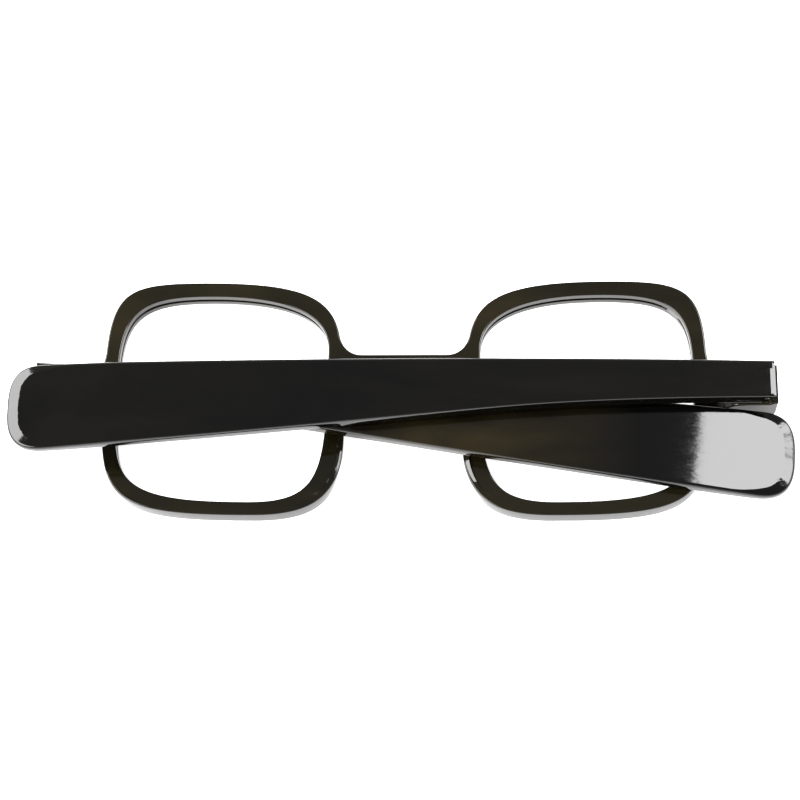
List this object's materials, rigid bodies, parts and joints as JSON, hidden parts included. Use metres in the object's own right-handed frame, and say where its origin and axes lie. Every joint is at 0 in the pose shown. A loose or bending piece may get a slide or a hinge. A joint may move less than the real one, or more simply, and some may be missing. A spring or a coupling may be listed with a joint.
{
  "type": "eyeglasses frame",
  "caption": "Chunky acetate eyeglasses frame with rounded square lens openings and broad straight temples, folded one over the other.",
  "frame": {"origin": "middle of the bridge on the front face, which lies on the surface that the folded frame rests on", "axes": "+X from the wearer's left to the wearer's right, +Y towards the top of the frame, +Z from the lenses towards the wearer"},
  "size_m": [0.1505, 0.0484, 0.0151],
  "materials": {
    "front_acetate": "polished dark olive-brown acetate",
    "temple_acetate": "polished dark olive-black acetate",
    "hinge_metal": "nickel silver hinge leaves",
    "screw_steel": "bright slotted hinge screws",
    "core_wire": "stiffening wire inside each temple"
  },
  "bodies": {
    "front": {"front_frame": "front_acetate", "right_hinge_front_leaf": "hinge_metal", "left_hinge_front_leaf": "hinge_metal", "right_hinge_screw": "screw_steel", "left_hinge_screw": "screw_steel"},
    "right_temple_arm": {"right_temple": "temple_acetate", "right_hinge_temple_leaf": "hinge_metal", "right_core_wire": "core_wire"},
    "left_temple_arm": {"left_temple": "temple_acetate", "left_hinge_temple_leaf": "hinge_metal", "left_core_wire": "core_wire"}
  },
  "joints": [
    {"name": "right_temple_hinge", "type": "hinge", "parent": "front", "child": "right_temple_arm", "pos_m": [0.06975, -0.0036, 0.0094], "axis": [-0.007, 1, 0], "range_deg": [0, 88.2]},
    {"name": "left_temple_hinge", "type": "hinge", "parent": "front", "child": "left_temple_arm", "pos_m": [-0.06975, -0.0036, 0.0094], "axis": [-0.0576, -0.9983, 0], "range_deg": [-0.1, 0.15]}
  ]
}
